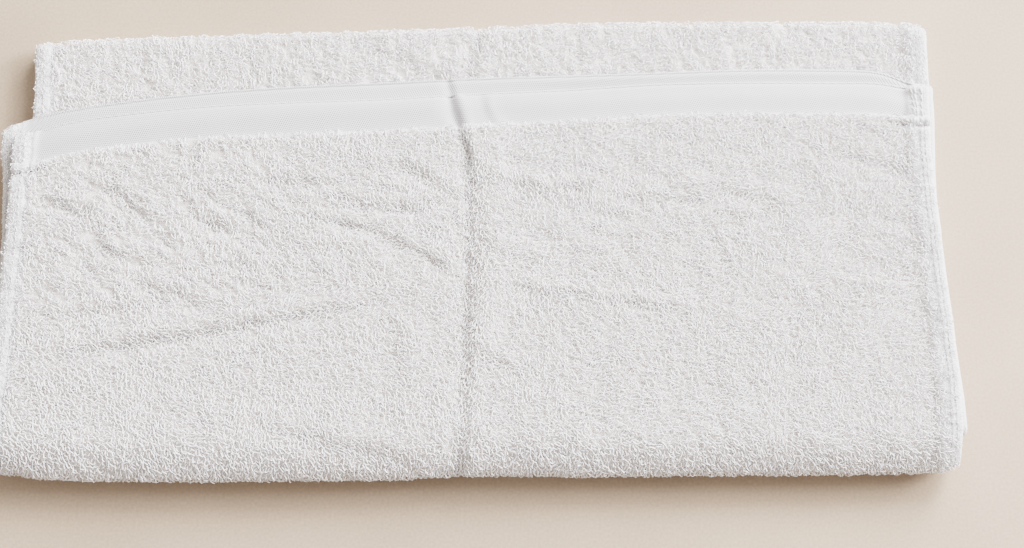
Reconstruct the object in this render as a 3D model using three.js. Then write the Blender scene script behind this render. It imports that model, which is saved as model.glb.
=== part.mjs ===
// Folded face towel: one white cotton terry cloth, folded in four layers and laid flat.
// Millimetres, +Z up, origin at the middle of the footprint, on the surface that it rests on.
// +X runs along the folds and +Y towards the back fold.
import * as THREE from 'three';

// Driving dimensions
const towelWidth = 500;
const terryThickness = 5;
const bandThickness = 2.8;
const bandWidth = 21;
const sideHemWidth = 11.5;
const sideHemThickness = 4.4;
const cornerThickness = 4.2;
const hemStepWidth = 5;
const hemUnevenness = 0.25;
const hemWaveLength = 46;
const layerGap = 0.9;
const drapeWidth = 12;
const frontFoldReach = 16.5;
const turnReach = 3;
const edgeRounding = 1.6;
const edgeShare = 0.45;
const backCreaseShare = 0.7;
const towelColour = 0xf2f1f1;
const towelRoughness = 0.95;

// The folds and the two ends wander along the towel's width: a row for each place across, with
// the reach of the back fold, the front fold, the outer layer's end and the inner layer's end.
const foldLines = [
  { across: -250, backFold: 116.3, frontFold: -124.0, outerEnd: 58.8, innerEnd: 62.5 },
  { across: -238, backFold: 119.1, frontFold: -126.6, outerEnd: 60.8, innerEnd: 68.8 },
  { across: -225, backFold: 120.9, frontFold: -128.7, outerEnd: 65.3, innerEnd: 73.3 },
  { across: -200, backFold: 122.3, frontFold: -130.1, outerEnd: 70.1, innerEnd: 78.4 },
  { across: -150, backFold: 123.9, frontFold: -130.6, outerEnd: 75.8, innerEnd: 85.2 },
  { across: -100, backFold: 125.6, frontFold: -130.4, outerEnd: 78.3, innerEnd: 89.3 },
  { across: -50, backFold: 127.1, frontFold: -129.9, outerEnd: 80.2, innerEnd: 91.8 },
  { across: 0, backFold: 129.0, frontFold: -127.8, outerEnd: 83.3, innerEnd: 94.4 },
  { across: 50, backFold: 131.2, frontFold: -128.1, outerEnd: 85.8, innerEnd: 95.9 },
  { across: 100, backFold: 132.0, frontFold: -127.7, outerEnd: 89.3, innerEnd: 97.7 },
  { across: 150, backFold: 132.3, frontFold: -127.4, outerEnd: 90.4, innerEnd: 99.6 },
  { across: 200, backFold: 132.5, frontFold: -126.9, outerEnd: 90.2, innerEnd: 99.4 },
  { across: 222, backFold: 132.0, frontFold: -126.4, outerEnd: 90.0, innerEnd: 97.9 },
  { across: 240, backFold: 130.6, frontFold: -124.9, outerEnd: 87.0, innerEnd: 91.2 },
  { across: 250, backFold: 128.1, frontFold: -121.8, outerEnd: 86.7, innerEnd: 89.8 },
];

// Where the side edges of each layer lie, from the front (low y) to the back.
const sideEdges = {
  outerTop: [
    { y: -115, left: -250.5, right: 253.0 },
    { y: -80, left: -249.2, right: 254.2 },
    { y: -10, left: -248.8, right: 251.4 },
    { y: 50, left: -249.6, right: 250.0 },
    { y: 85, left: -251.4, right: 252.0 },
  ],
  outerBottom: [
    { y: -115, left: -250.5, right: 253.0 },
    { y: 0, left: -247.0, right: 254.0 },
    { y: 117, left: -247.2, right: 256.3 },
  ],
  innerBottom: [
    { y: -112, left: -249.5, right: 258.5 },
    { y: 0, left: -246.6, right: 253.6 },
    { y: 75, left: -244.4, right: 255.0 },
    { y: 117, left: -247.2, right: 256.3 },
  ],
  innerTop: [
    { y: -112, left: -249.5, right: 258.5 },
    { y: -6, left: -252.3, right: 253.4 },
    { y: 28, left: -254.6, right: 252.8 },
    { y: 62, left: -259.1, right: 254.5 },
    { y: 90, left: -259.1, right: 255.8 },
  ],
};

// The crease from an earlier fold down the middle.
const middleCrease = { from: [1, 58], via: [0, -20], to: [-2, -126], width: 4.6, height: -2.1 };

// Troughs (height below zero) and ridges of the top face, each a curve from, via and to a place.
const wrinkles = [
  middleCrease,
  { from: [-8, 84], via: [-3, 72], to: [3, 60], width: 3.4, height: -1.6 },
  { from: [-10, 40], via: [-9, -20], to: [-10, -100], width: 5, height: 0.6 },
  { from: [9, 40], via: [8, -20], to: [7, -100], width: 5, height: 0.6 },
  { from: [-214, -66], via: [-143, -49], to: [-42, -34], width: 6, height: -1.7 },
  { from: [-206, -80], via: [-140, -63], to: [-50, -52], width: 9, height: 0.8 },
  { from: [-242, -39], via: [-203, -43], to: [-166, -37], width: 5, height: -1.4 },
  { from: [-174, -24], via: [-157, -28], to: [-139, -34], width: 6, height: -1.2 },
  { from: [-232, 9], via: [-181, -5], to: [-125, -9], width: 8, height: 0.9 },
  { from: [-152, 19], via: [-136, 11], to: [-118, 3], width: 8, height: -1.1 },
  { from: [-107, 30], via: [-82, 30], to: [-56, 28], width: 7, height: 0.8 },
  { from: [-82, 20], via: [-45, 17], to: [-8, 16], width: 6, height: -1.4 },
  { from: [-78, 6], via: [-38, -6], to: [-6, -27], width: 6, height: -1.4 },
  { from: [7, -24], via: [66, -30], to: [166, -52], width: 9, height: 0.8 },
  { from: [20, -38], via: [70, -44], to: [150, -62], width: 9, height: -0.6 },
  { from: [49, 28], via: [110, 32], to: [170, 35], width: 9, height: 0.7 },
  { from: [27, 22], via: [62, 14], to: [98, 9], width: 9, height: -0.7 },
  { from: [188, -22], via: [210, -25], to: [232, -27], width: 8, height: 0.7 },
  { from: [13, 56], via: [25, 44], to: [37, 33], width: 5, height: 0.6 },
  { from: [-102, -103], via: [-66, -110], to: [-32, -116], width: 6, height: -1.1 },
];
const curveSamples = 10;

// Rows of points along each section of the cloth, and places across half of it with a column.
const sectionRows = {
  outerTop: 18,
  frontFold: 9,
  outerBottom: 5,
  backFold: 7,
  innerBottom: 9,
  innerFold: 6,
  innerTop: 5,
};
const halfColumns = [4, 9, 24, 48, 75, 105, 135, 165, 195, 220, 236, 241];

// Distances from an end with a row of their own, close together where the band meets the terry.
const endRows = {
  outerTop: [0, 5, 10, 14, 18.5, 21, 23.5, 28],
  innerTop: [0, 9, 18.5, 20, 22, 23.5],
};

const halfWidth = towelWidth / 2;
const halfTerry = terryThickness / 2;
const innerBottomLevel = terryThickness + layerGap + halfTerry;

function smooth(t) {
  return THREE.MathUtils.smoothstep(t, 0, 1);
}

// A value from a table at a place between its rows, along a smooth curve through them.
function lookUp(table, key, place, column) {
  const last = table.length - 1;
  if (place <= table[0][key]) return table[0][column];
  if (place >= table[last][key]) return table[last][column];
  const next = table.findIndex((row) => row[key] > place);
  const [before, start, end, after] = [-2, -1, 0, 1].map((step) => {
    return table[THREE.MathUtils.clamp(next + step, 0, last)];
  });
  const span = end[key] - start[key];
  const slopeIn = (end[column] - before[column]) / (end[key] - before[key]);
  const slopeOut = (after[column] - start[column]) / (after[key] - start[key]);
  const t = (place - start[key]) / span;
  const rise = t * t * (3 - 2 * t);
  const leave = t * (1 - t) * (1 - t) * span * slopeIn;
  const arrive = t * t * (t - 1) * span * slopeOut;
  return start[column] + (end[column] - start[column]) * rise + leave + arrive;
}

function foldLine(across, column) {
  return lookUp(foldLines, 'across', across, column);
}

function edgesAt(layer, y) {
  const left = lookUp(sideEdges[layer], 'y', y, 'left');
  const right = lookUp(sideEdges[layer], 'y', y, 'right');
  return { left, right };
}

function placeAcross(layer, across, y) {
  const { left, right } = edgesAt(layer, y);
  return THREE.MathUtils.lerp(left, right, (across + halfWidth) / towelWidth);
}

// How far a place is inside a side hem, from 0 in the body of the cloth to 1 in the hem.
function hemShare(across) {
  return smooth((Math.abs(across) - halfWidth + sideHemWidth) / hemStepWidth + 0.5);
}

// Cloth thickness: terry, the flat band at each end, the side hems, and hem on hem at a corner.
function thicknessAt(across, fromEnd, y) {
  const inHem = hemShare(across);
  const inTerry = smooth((fromEnd - bandWidth) / hemStepWidth + 0.5);
  const wave = hemUnevenness * Math.sin((2 * Math.PI * y) / hemWaveLength + Math.sign(across));
  const body = THREE.MathUtils.lerp(bandThickness, terryThickness, inTerry);
  const hem = THREE.MathUtils.lerp(cornerThickness, sideHemThickness + wave, inTerry);
  return THREE.MathUtils.lerp(body, hem, inHem);
}

function innerTopThickness(across, y) {
  return thicknessAt(across, foldLine(across, 'innerEnd') - y, y);
}

function outerTopThickness(across, y) {
  return thicknessAt(across, foldLine(across, 'outerEnd') - y, y);
}

function plainThickness(across, y) {
  return thicknessAt(across, Infinity, y);
}

function innerTopLevel(across, y) {
  return innerBottomLevel + halfTerry + layerGap + innerTopThickness(across, y) / 2;
}

// The outer layer drapes down, past the step of the layer below it, onto that layer's flat band.
function outerTopLevel(across, y) {
  const { left, right } = edgesAt('innerTop', y);
  const x = placeAcross('outerTop', across, y);
  const below = THREE.MathUtils.mapLinear(x, left, right, -halfWidth, halfWidth);
  const fromEnd = foldLine(below, 'innerEnd') - y;
  const onTerry = smooth((fromEnd - bandWidth) / drapeWidth + 1);
  const flat = THREE.MathUtils.lerp(bandThickness, cornerThickness, hemShare(below));
  const under = THREE.MathUtils.lerp(flat, terryThickness, onTerry);
  const floor = innerBottomLevel + halfTerry + layerGap + under;
  return floor + layerGap + outerTopThickness(across, y) / 2;
}

// The four layers: how thick each is at a place, and how high its middle lies.
const layers = {
  outerTop: { thickness: outerTopThickness, level: outerTopLevel },
  outerBottom: { thickness: plainThickness, level: (across, y) => plainThickness(across, y) / 2 },
  innerBottom: { thickness: plainThickness, level: () => innerBottomLevel },
  innerTop: { thickness: innerTopThickness, level: innerTopLevel },
};

function makeCurve({ from, via, to }) {
  const [start, middle, end] = [from, via, to].map((place) => new THREE.Vector2(...place));
  const ends = start.clone().add(end).multiplyScalar(0.5);
  const control = middle.multiplyScalar(2).sub(ends);
  return new THREE.QuadraticBezierCurve(start, control, end).getPoints(curveSamples);
}

const wrinkleCurves = new Map(wrinkles.map((wrinkle) => [wrinkle, makeCurve(wrinkle)]));

function distanceTo(points, place) {
  let nearest = Infinity;
  for (let i = 1; i < points.length; i += 1) {
    const along = points[i].clone().sub(points[i - 1]);
    const offset = place.clone().sub(points[i - 1]);
    const t = THREE.MathUtils.clamp(offset.dot(along) / along.lengthSq(), 0, 1);
    nearest = Math.min(nearest, offset.distanceTo(along.multiplyScalar(t)));
  }
  return nearest;
}

function wrinkleHeight(wrinkle, x, y) {
  const distance = distanceTo(wrinkleCurves.get(wrinkle), new THREE.Vector2(x, y));
  return wrinkle.height * Math.exp(-((distance / wrinkle.width) ** 2));
}

// What the outward face of a layer rises by at a place, fading where it turns downward.
function reliefAt(layer, point, normal) {
  const facingUp = smooth(normal.z + 0.5);
  if (layer === 'outerTop') {
    const heights = wrinkles.map((wrinkle) => wrinkleHeight(wrinkle, point.x, point.y));
    return facingUp * heights.reduce((sum, height) => sum + height, 0);
  }
  if (layer === 'innerBottom') {
    return facingUp * backCreaseShare * wrinkleHeight(middleCrease, point.x, 0);
  }
  return 0;
}

function rowAt(layer, across, y) {
  return { layer, y, level: layers[layer].level(across, y) };
}

// A flat stretch of one layer, from one y to another.
function flatRows(layer, across, startY, endY, rows) {
  return Array.from({ length: rows }, (_, i) => {
    return rowAt(layer, across, THREE.MathUtils.lerp(startY, endY, i / (rows - 1)));
  });
}

// The last stretch of a layer, from its end to where the even rows begin.
function endStretch(layer, across, endY) {
  return endRows[layer].map((distance) => rowAt(layer, across, endY - distance));
}

// A half ellipse that turns the cloth from one layer to the next, without its two ends.
function turnRows(fromLayer, toLayer, layer, across, centreY, reach, rows) {
  const fromLevel = layers[fromLayer].level(across, centreY);
  const toLevel = layers[toLayer].level(across, centreY);
  return Array.from({ length: rows }, (_, i) => {
    const angle = (Math.PI * (i + 1)) / (rows + 1);
    const y = centreY + reach * Math.sin(angle);
    const level = THREE.MathUtils.lerp(fromLevel, toLevel, (1 - Math.cos(angle)) / 2);
    return { layer, y, level };
  });
}

// The line that the middle of the cloth follows from one end to the other, at one place across.
function clothLine(across) {
  const frontY = foldLine(across, 'frontFold') + halfTerry + frontFoldReach;
  const backY = foldLine(across, 'backFold') - halfTerry - turnReach;
  const outerEnd = foldLine(across, 'outerEnd') - edgeRounding;
  const innerEnd = foldLine(across, 'innerEnd') - edgeRounding;
  const outerStretch = endStretch('outerTop', across, outerEnd);
  const innerStretch = endStretch('innerTop', across, innerEnd).reverse();
  const outerStart = outerStretch.pop().y;
  const innerStop = innerStretch.shift().y;
  const rows = sectionRows;
  const turn = (from, to, layer, y, reach, count) => {
    return turnRows(from, to, layer, across, y, reach, count);
  };
  return [
    ...outerStretch,
    ...flatRows('outerTop', across, outerStart, frontY, rows.outerTop),
    ...turn('outerTop', 'outerBottom', 'outerTop', frontY, -frontFoldReach, rows.frontFold),
    ...flatRows('outerBottom', across, frontY, backY, rows.outerBottom),
    ...turn('outerBottom', 'innerBottom', 'innerBottom', backY, turnReach, rows.backFold),
    ...flatRows('innerBottom', across, backY, frontY, rows.innerBottom),
    ...turn('innerBottom', 'innerTop', 'innerTop', frontY, -turnReach, rows.innerFold),
    ...flatRows('innerTop', across, frontY, innerStop, rows.innerTop),
    ...innerStretch,
  ];
}

function makeColumns() {
  const edge = halfWidth - edgeRounding;
  const right = [...halfColumns, edge];
  return [...right.map((place) => -place).reverse(), 0, ...right];
}

// The middle surface as rows of places, each with its point and its outward direction.
function makeSheet(columns) {
  const lines = columns.map((across) => clothLine(across));
  const rowCount = lines[0].length;
  const points = Array.from({ length: rowCount }, (_, row) => {
    return columns.map((across, column) => {
      const { layer, y, level } = lines[column][row];
      return new THREE.Vector3(placeAcross(layer, across, y), y, level);
    });
  });
  const lastRow = rowCount - 1;
  const lastColumn = columns.length - 1;
  return points.map((line, row) => {
    return line.map((point, column) => {
      const ahead = points[Math.min(row + 1, lastRow)][column].clone();
      const along = ahead.sub(points[Math.max(row - 1, 0)][column]);
      const rightward = line[Math.min(column + 1, lastColumn)].clone();
      const sideways = rightward.sub(line[Math.max(column - 1, 0)]);
      const { layer } = lines[column][row];
      return { layer, point, across: columns[column], normal: along.cross(sideways).normalize() };
    });
  });
}

// One loop of points around the cloth: over its outward face, around an edge and back under it.
function makeRing(line, thicknessShare, shift) {
  const faces = line.map(({ layer, point, across, normal }) => {
    const half = (layers[layer].thickness(across, point.y) * thicknessShare) / 2;
    const relief = reliefAt(layer, point, normal) * thicknessShare;
    const middle = point.clone().add(shift);
    const outer = middle.clone().addScaledVector(normal, half + relief);
    const inner = middle.clone().addScaledVector(normal, -half);
    if (layer === 'outerBottom') outer.z = 0;
    return { middle, half, normal, outer, inner };
  });
  const rim = (face, side) => {
    const edge = face.middle.clone();
    edge.x += side * edgeRounding * thicknessShare;
    const lift = face.normal.clone().multiplyScalar(face.half * edgeShare);
    return [edge.clone().add(lift), edge.clone().sub(lift)];
  };
  const rightRim = rim(faces[faces.length - 1], 1);
  const leftRim = rim(faces[0], -1).reverse();
  const outerFace = faces.map((face) => face.outer);
  const innerFace = faces.map((face) => face.inner).reverse();
  return [...outerFace, ...rightRim, ...innerFace, ...leftRim];
}

function makeTowelGeometry() {
  const columns = makeColumns();
  const sheet = makeSheet(columns);
  const still = new THREE.Vector3();
  const backward = new THREE.Vector3(0, edgeRounding, 0);
  const rings = [
    makeRing(sheet[0], edgeShare, backward),
    ...sheet.map((line) => makeRing(line, 1, still)),
    makeRing(sheet[sheet.length - 1], edgeShare, backward),
  ];
  const size = rings[0].length;
  const positions = [];
  rings.flat().forEach((point) => {
    positions.push(point.x, point.y, Math.max(point.z, 0));
  });
  const triangles = [];
  const quad = (a, b, c, d) => triangles.push(a, b, c, a, c, d);
  for (let ring = 0; ring + 1 < rings.length; ring += 1) {
    for (let i = 0; i < size; i += 1) {
      const next = (i + 1) % size;
      const start = ring * size;
      quad(start + i, start + size + i, start + size + next, start + next);
    }
  }
  const cap = (start, flip) => {
    const outer = (column) => start + ((column + size) % size);
    const inner = (column) => start + size - 3 - column;
    for (let column = -1; column < columns.length; column += 1) {
      const next = column + 1;
      const corners = [outer(column), outer(next), inner(next), inner(column)];
      if (flip) corners.reverse();
      quad(...corners);
    }
  };
  cap(0, false);
  cap((rings.length - 1) * size, true);
  const geometry = new THREE.BufferGeometry();
  geometry.setAttribute('position', new THREE.Float32BufferAttribute(positions, 3));
  geometry.setIndex(triangles);
  return geometry;
}

function centreOnFloor(geometry) {
  geometry.computeBoundingBox();
  const centre = geometry.boundingBox.getCenter(new THREE.Vector3());
  geometry.translate(-centre.x, -centre.y, -geometry.boundingBox.min.z);
  geometry.computeVertexNormals();
  return geometry;
}

function makeTowel() {
  const material = new THREE.MeshStandardMaterial({
    color: towelColour,
    roughness: towelRoughness,
    metalness: 0,
  });
  const towel = new THREE.Mesh(centreOnFloor(makeTowelGeometry()), material);
  towel.name = 'towel';
  return towel;
}

const foldedTowel = new THREE.Group();
foldedTowel.add(makeTowel());

export default foldedTowel;
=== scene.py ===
import math

import bmesh
import bpy
import numpy as np
from mathutils import Matrix, Vector


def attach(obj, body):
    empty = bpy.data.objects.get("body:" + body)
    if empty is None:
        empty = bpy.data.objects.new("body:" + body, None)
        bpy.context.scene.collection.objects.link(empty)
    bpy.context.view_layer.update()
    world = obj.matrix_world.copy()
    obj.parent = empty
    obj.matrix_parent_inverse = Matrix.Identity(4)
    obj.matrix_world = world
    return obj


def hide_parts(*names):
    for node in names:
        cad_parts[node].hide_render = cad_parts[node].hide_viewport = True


# Folded face towel: one white cotton terry cloth, folded in four layers and laid flat.
# Metres, X along the folds, Y towards the back fold, Z up from the table.
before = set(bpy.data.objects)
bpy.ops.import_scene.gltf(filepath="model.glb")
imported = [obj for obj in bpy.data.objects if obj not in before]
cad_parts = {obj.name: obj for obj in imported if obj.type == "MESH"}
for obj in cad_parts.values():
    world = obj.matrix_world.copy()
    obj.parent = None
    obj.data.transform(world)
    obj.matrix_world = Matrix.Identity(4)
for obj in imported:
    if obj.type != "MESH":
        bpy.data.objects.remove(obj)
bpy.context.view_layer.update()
mm = 0.001
print("frame loaded")


# Camera and light, first of all

view = {
    "lens": 50.0,
    "lookAt": (0.0223, -0.02295, 0.022),
    "distance": 0.752,
    "tiltDown": math.radians(73.5),
    "sensor": 36.0,
    "nearest": 0.01,
    "farthest": 30.0,
}

lights = {
    "side": {"from": (2.75, 0.85, 1.35), "size": 1.5, "watts": 112.5, "tint": (0.96, 0.965, 1.0)},
    "back": {"from": (1.65, 2.35, 1.6), "size": 1.8, "watts": 129.0, "tint": (0.96, 0.965, 1.0)},
    "room": {"strength": 0.53, "tint": (1.0, 0.965, 0.935)},
}


def addCamera(values):
    lens = bpy.data.cameras.new("camera")
    lens.lens = values["lens"]
    lens.sensor_width = values["sensor"]
    lens.clip_start = values["nearest"]
    lens.clip_end = values["farthest"]
    camera = bpy.data.objects.new("camera", lens)
    tilt = values["tiltDown"]
    back = Vector((0, -math.cos(tilt), math.sin(tilt)))
    camera.location = Vector(values["lookAt"]) + back * values["distance"]
    camera.rotation_euler = (math.pi / 2 - tilt, 0, 0)
    bpy.context.scene.collection.objects.link(camera)
    bpy.context.scene.camera = camera


def addSoftLight(name, values):
    lamp = bpy.data.lights.new(name, "AREA")
    lamp.shape = "DISK"
    lamp.size = values["size"]
    lamp.energy = values["watts"]
    lamp.color = values["tint"]
    light = bpy.data.objects.new(name, lamp)
    light.location = values["from"]
    light.rotation_euler = Vector(values["from"]).to_track_quat("Z", "Y").to_euler()
    bpy.context.scene.collection.objects.link(light)


addCamera(view)
addSoftLight("sideLight", lights["side"])
addSoftLight("backLight", lights["back"])
room = bpy.data.worlds.new("room")
room.use_nodes = True
sky = room.node_tree.nodes["Background"]
sky.inputs["Color"].default_value = (*lights["room"]["tint"], 1)
sky.inputs["Strength"].default_value = lights["room"]["strength"]
bpy.context.scene.world = room
bpy.context.scene.view_settings.view_transform = "Filmic"
bpy.context.scene.view_settings.look = "Very High Contrast"
print("camera and lights in place")


# Nodes: a wire is a socket that can be reckoned with, and put adds any other node

class Wire:
    def __init__(self, tree, socket):
        self.tree = tree
        self.socket = socket

    def reckon(self, operation, first, second):
        return put(self.tree, "ShaderNodeMath", {"operation": operation}, {0: first, 1: second})

    def __add__(self, other):
        return self.reckon("ADD", self, other)

    def __radd__(self, other):
        return self.reckon("ADD", other, self)

    def __sub__(self, other):
        return self.reckon("SUBTRACT", self, other)

    def __rsub__(self, other):
        return self.reckon("SUBTRACT", other, self)

    def __mul__(self, other):
        return self.reckon("MULTIPLY", self, other)

    def __rmul__(self, other):
        return self.reckon("MULTIPLY", other, self)

    def __abs__(self):
        return self.reckon("ABSOLUTE", self, 0.0)


def put(tree, kind, settings=None, inputs=None, output=0):
    node = tree.nodes.new(kind)
    for name, value in (settings or {}).items():
        setattr(node, name, value)
    for name, value in (inputs or {}).items():
        if isinstance(value, Wire):
            tree.links.new(value.socket, node.inputs[name])
        else:
            node.inputs[name].default_value = value
    return Wire(tree, node.outputs[output]) if node.outputs else node


def other(wire, name):
    return Wire(wire.tree, wire.socket.node.outputs[name])


def wave(wire):
    return put(wire.tree, "ShaderNodeMath", {"operation": "SINE"}, {0: wire})


def ease(wire, low, high):
    return put(
        wire.tree, "ShaderNodeMapRange", {"interpolation_type": "SMOOTHSTEP"},
        {"Value": wire, "From Min": low, "From Max": high},
    )


def blendColour(tree, factor, first, second, way="MIX"):
    return put(
        tree, "ShaderNodeMix", {"data_type": "RGBA", "blend_type": way},
        {0: factor, 6: first, 7: second}, 2,
    )


def triangles(piece):
    return sum(len(p.vertices) - 2 for p in piece.data.polygons)


def addPiece(name, mesh):
    piece = bpy.data.objects.new(name, mesh)
    bpy.context.scene.collection.objects.link(piece)
    return piece


def addMesh(name, shape):
    # the bmesh becomes a mesh of that name and is done with
    mesh = bpy.data.meshes.new(name)
    shape.to_mesh(mesh)
    shape.free()
    return mesh


def newMaterial(name):
    material = bpy.data.materials.new(name)
    material.use_nodes = True
    material.node_tree.nodes.clear()
    return material, material.node_tree


# The fold: the same tables as the CAD solid, in millimetres

towel = {
    "width": 500,
    "terry": 5.0,
    "band": 2.8,
    "bandWidth": 21,
    "sideHemWidth": 11.5,
    "sideHem": 4.4,
    "corner": 4.2,
    "hemStep": 5,
    "hemUneven": 0.25,
    "hemWave": 46,
    "layerGap": 0.9,
    "drape": 12,
    "frontReach": 19,
    "frontFullness": 1.25,
    "turnReach": 3,
    "backShown": 26,  # how much of the back part is laid in close rows, past the inner end
    "farFromEnds": 400.0,
    "pileDepth": 1.4,
    "thinnest": 0.7,
    "edgeRadius": 1.9,
    "edgeRound": 0.94,
    "cornerRadius": 2.6,
    "middle": (0.3, -0.95),
    "flatSize": (0.5, 0.93),
}

# across, back fold, front fold, outer end, inner end
foldLines = np.array([
    (-250, 116.3, -124.0, 58.8, 62.5),
    (-238, 119.1, -126.6, 60.8, 68.8),
    (-225, 120.9, -128.7, 65.3, 73.3),
    (-200, 122.3, -130.1, 70.1, 78.4),
    (-150, 123.9, -130.6, 75.8, 85.2),
    (-100, 125.6, -130.4, 78.3, 89.3),
    (-50, 127.1, -129.9, 80.2, 91.8),
    (0, 129.0, -127.8, 83.3, 94.4),
    (50, 131.2, -128.1, 85.8, 95.9),
    (100, 132.0, -127.7, 89.3, 97.7),
    (150, 132.3, -127.4, 90.4, 99.6),
    (200, 132.5, -126.9, 90.2, 99.4),
    (222, 132.0, -126.4, 90.0, 97.9),
    (240, 130.6, -124.9, 87.0, 91.2),
    (250, 128.1, -121.8, 86.7, 89.8),
])
backFold, frontFold, outerEnd, innerEnd = 1, 2, 3, 4

# y, left edge, right edge of each layer
sideEdges = {
    "outerTop": np.array([
        (-115, -250.5, 253.0), (-80, -249.2, 254.2), (-10, -248.8, 251.4),
        (50, -249.6, 250.0), (85, -251.4, 252.0),
    ]),
    "outerBottom": np.array([(-115, -250.5, 253.0), (0, -247.0, 254.0), (117, -247.2, 256.3)]),
    "innerBottom": np.array([
        (-112, -249.5, 258.5), (0, -246.6, 253.6), (75, -244.4, 255.0), (117, -247.2, 256.3),
    ]),
    "innerTop": np.array([
        (-112, -249.5, 258.5), (-6, -252.3, 253.4), (28, -254.6, 252.8),
        (62, -259.1, 254.5), (90, -259.1, 255.8),
    ]),
}

# from, via, to, width, rise of the whole line, step up towards the lit side
creases = [
    ((-1, 48), (-1, -10), (-5, -127), 2.9, -0.85, 0),
    ((0, 48), (1, -10), (-3, -127), 5.5, -0.3, 0.6),
    ((12, 58), (14, 9), (8, -60), 7.5, 1.2, 0),
    ((-12, 88), (-8.5, 72), (0, 46), 2.9, -0.7, 1.2),
    ((8, 84), (10, 71), (15, 61), 2.2, 0.15, 0.3),
]

# and wrinkles fade out at both ends
wrinkles = [
    ((-234, -68), (-136, -51), (-22, -31), 3.4, -1, 1.4),
    ((-232, -43), (-194, -41), (-152, -31), 2.8, -0.9, 0.6),
    ((-180, -22), (-157, -31), (-132, -37), 3.2, -0.7, 0.8),
    ((-172, -32), (-160, -36), (-146, -41), 2.5, -0.5, 0.5),
    ((-225, -1), (-186, -10), (-148, -18), 3, -0.5, 0.6),
    ((-148, -18), (-130, -16), (-112, -13), 3, -0.4, 0.6),
    ((-160, 22), (-137, 8), (-112, -8), 3.9, -0.6, 1),
    ((-146, 27), (-126, 16), (-104, 2), 3.4, -0.4, 0.7),
    ((-206, 35), (-183, 19), (-160, 1), 3.4, -0.4, 0.8),
    ((-222, 24), (-204, 11), (-186, 1), 3.2, -0.3, 0.6),
    ((-92, 12), (-40, -1), (2, -31), 2.8, -0.6, 1),
    ((-88, 22), (-49, 17), (-8, 17), 3.4, -0.7, 0.9),
    ((-118, 31), (-87, 32), (-54, 32), 3, -0.6, 0.7),
    ((-66, 41), (-38, 40), (-6, 22), 3.4, -0.4, 0.6),
    ((-240, 21), (-220, 17), (-198, 12), 3.2, -0.7, 0.6),
    ((-43, -37), (-36, -69), (-37, -118), 5.2, -0.1, 0.3),
    ((-118, -101), (-66, -111), (-6, -122), 3.9, -0.4, 0.8),
    ((0, -21), (68, -30), (150, -41), 1.9, 1.5, -0.2),
    ((12, 44), (29, 34), (90, 33), 2.4, 1.1, -0.4),
    ((69, 26), (118, 22), (168, 30), 3.2, -0.4, 0.7),
    ((58, 27), (69, 17), (94, 9), 3.4, -0.2, 0.6),
    ((132, 15), (149, 12), (164, 18), 3, -0.2, 0.6),
    ((84, 51), (94, 43), (104, 35), 3.2, -0.4, 0.6),
    ((8, 8), (21, -5), (56, -6), 3, 1.3, -0.3),
    ((20, 14), (40, 4), (62, 3), 3.4, 0, 0.6),
    ((120, 15), (134, -3), (137, -30), 3.4, -0.3, 0.5),
    ((194, 51), (221, 43), (243, 32), 3.2, -0.4, 0.6),
    ((216, 13), (229, 10), (240, 7), 3, -0.3, 0.5),
    ((180, -19), (211, -25), (240, -28), 1.9, 1.2, -0.2),
    ((176, 30), (196, 24), (214, 16), 3.4, -0.2, 0.5),
    ((75, -37), (72, -79), (73, -118), 5.2, 0, 0.3),
    ((132, -47), (131, -85), (132, -118), 5.2, 0, 0.3),
    ((172, -50), (176, -80), (170, -112), 5.8, 0, 0.2),
    ((2, -55), (16, -63), (30, -72), 2.6, 1.3, -0.2),
]

backWrinkles = [
    ((9, 134), (3, 113), (-4, 92), 3.4, -1, 0.4),
    ((-54, 116), (-35, 107), (-12, 95), 4.6, -0.3, 0.5),
    ((-188, 118), (-184, 105), (-181, 92), 4.6, -0.6, 0.2),
    ((71, 97), (105, 101), (139, 107), 5.8, -0.3, 0.4),
]

# the dent the band crease leaves in the end below
bandDent = ((-14, 97), (-13, 91), (-11, 84), 2.2, -1.0, 0.3)

# where the cloth is most rumpled, as a middle, a half size, and the lie of its streaks
rumples = [
    {"middle": (-150, 8), "half": (100, 44), "turn": -0.66, "size": (17, 4.2), "height": 1.0},
    {"middle": (-150, 4), "half": (105, 46), "turn": -0.5, "size": (12, 3.0), "height": 0.8},
    {"middle": (-45, 12), "half": (60, 46), "turn": -0.25, "size": (15, 5.0), "height": 1.0},
    {"middle": (125, 18), "half": (118, 42), "turn": -0.3, "size": (24, 8.0), "height": 0.9},
    {"middle": (0, -60), "half": (250, 70), "turn": -0.9, "size": (12, 5.5), "height": 0.3},
]

halfWidth = towel["width"] / 2
halfTerry = towel["terry"] / 2
innerBottomLevel = towel["terry"] + towel["layerGap"] + halfTerry


def lerp(first, second, share):
    return first + (second - first) * share


def smooth(t):
    t = np.clip(t, 0, 1)
    return t * t * (3 - 2 * t)


def lookUp(rows, place, column):
    keys, values = rows[:, 0], rows[:, column]
    last = len(keys) - 1
    place = np.clip(place, keys[0], keys[last])
    start = np.clip(np.searchsorted(keys, place, side="right") - 1, 0, last - 1)
    end, before, after = start + 1, np.maximum(start - 1, 0), np.minimum(start + 2, last)
    span = keys[end] - keys[start]
    slopeIn = (values[end] - values[before]) / (keys[end] - keys[before])
    slopeOut = (values[after] - values[start]) / (keys[after] - keys[start])
    t = (place - keys[start]) / span
    rise = values[start] + (values[end] - values[start]) * t * t * (3 - 2 * t)
    return rise + span * (t * (1 - t) ** 2 * slopeIn + t * t * (t - 1) * slopeOut)


def foldLine(across, column):
    return lookUp(foldLines, across, column)


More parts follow.
